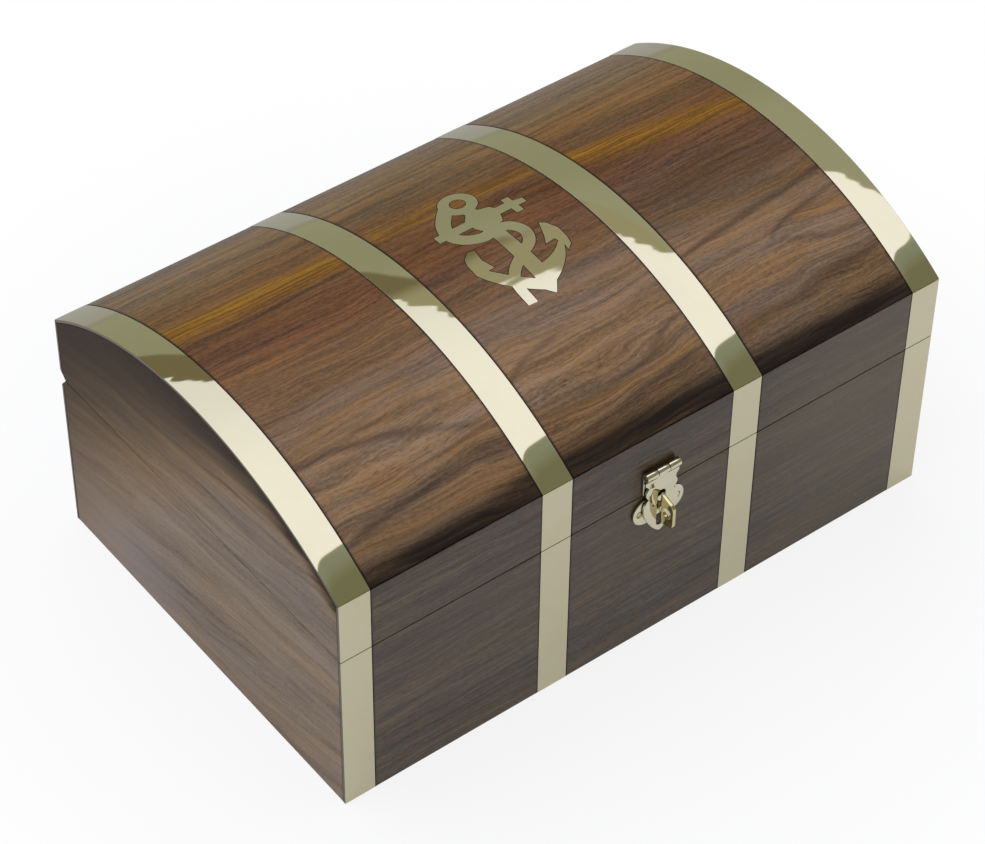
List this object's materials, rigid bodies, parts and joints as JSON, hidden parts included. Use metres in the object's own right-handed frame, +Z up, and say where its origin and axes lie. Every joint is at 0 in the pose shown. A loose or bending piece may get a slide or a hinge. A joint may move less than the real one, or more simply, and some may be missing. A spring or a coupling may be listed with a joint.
{
  "type": "domed sea chest",
  "caption": "Hardwood sea chest with a domed hinged lid, inlaid brass straps, an inlaid anchor and a swivel hasp.",
  "frame": {"origin": "middle of the underside, on the face that the chest stands on", "axes": "+X along the chest to its right end seen from the front, -Y out of the front where the hasp is, +Z up"},
  "size_m": [0.3, 0.206, 0.1442],
  "materials": {
    "dark_wood": "polished dark rosewood, grain along the chest",
    "end_grain_wood": "polished dark rosewood, grain from front to back",
    "dome_wood": "polished figured rosewood, reddish brown with golden and dark streaks",
    "inner_wood": "plain sanded hardwood",
    "liner_cloth": "short-pile cloth on card",
    "polished_brass": "polished pale brass, flush inlay",
    "plated_brass": "pressed brass sheet, bright lacquered",
    "yellow_brass": "bright yellow brass"
  },
  "bodies": {
    "base": {"base_left_end": "end_grain_wood", "base_right_end": "end_grain_wood", "base_front_wall": "dark_wood", "base_back_wall": "dark_wood", "bottom_board": "inner_wood", "floor_liner": "liner_cloth", "base_front_strap_left_end": "polished_brass", "base_front_strap_left_middle": "polished_brass", "base_front_strap_right_middle": "polished_brass", "base_front_strap_right_end": "polished_brass", "base_back_strap_left_end": "polished_brass", "base_back_strap_left_middle": "polished_brass", "base_back_strap_right_middle": "polished_brass", "base_back_strap_right_end": "polished_brass", "left_hinge_base_leaf": "yellow_brass", "left_hinge_pin": "yellow_brass", "left_hinge_base_screw_1": "yellow_brass", "left_hinge_base_screw_2": "yellow_brass", "right_hinge_base_leaf": "yellow_brass", "right_hinge_pin": "yellow_brass", "right_hinge_base_screw_1": "yellow_brass", "right_hinge_base_screw_2": "yellow_brass", "staple_plate": "plated_brass", "staple_plate_screw_1": "yellow_brass", "staple_plate_screw_2": "yellow_brass"},
    "lid": {"lid_left_end": "end_grain_wood", "lid_right_end": "end_grain_wood", "lid_front_rail": "dark_wood", "lid_back_rail": "dark_wood", "lid_dome": "dome_wood", "anchor_inlay": "polished_brass", "lid_front_strap_left_end": "polished_brass", "lid_front_strap_left_middle": "polished_brass", "lid_front_strap_right_middle": "polished_brass", "lid_front_strap_right_end": "polished_brass", "lid_back_strap_left_end": "polished_brass", "lid_back_strap_left_middle": "polished_brass", "lid_back_strap_right_middle": "polished_brass", "lid_back_strap_right_end": "polished_brass", "dome_strap_left_end": "polished_brass", "dome_strap_left_middle": "polished_brass", "dome_strap_right_middle": "polished_brass", "dome_strap_right_end": "polished_brass", "left_hinge_lid_leaf": "yellow_brass", "left_hinge_lid_screw_1": "yellow_brass", "left_hinge_lid_screw_2": "yellow_brass", "right_hinge_lid_leaf": "yellow_brass", "right_hinge_lid_screw_1": "yellow_brass", "right_hinge_lid_screw_2": "yellow_brass", "hasp_lid_leaf": "plated_brass", "hasp_pin": "yellow_brass", "hasp_leaf_screw_1": "yellow_brass", "hasp_leaf_screw_2": "yellow_brass"},
    "hasp": {"hasp_plate": "plated_brass"},
    "swivel": {"swivel_eye": "yellow_brass"}
  },
  "joints": [
    {"name": "lid_hinge", "type": "hinge", "parent": "base", "child": "lid", "pos_m": [0, 0.0943, 0.0822], "axis": [-1, 0, 0], "range_deg": [0, 100]},
    {"name": "hasp_swing", "type": "hinge", "parent": "lid", "child": "hasp", "pos_m": [0.0032, -0.0997, 0.094], "axis": [-1, 0, 0], "range_deg": [0, 170]},
    {"name": "swivel_turn", "type": "hinge", "parent": "base", "child": "swivel", "pos_m": [0.0032, -0.0975, 0.0736], "axis": [0, -1, 0], "continuous": true}
  ]
}
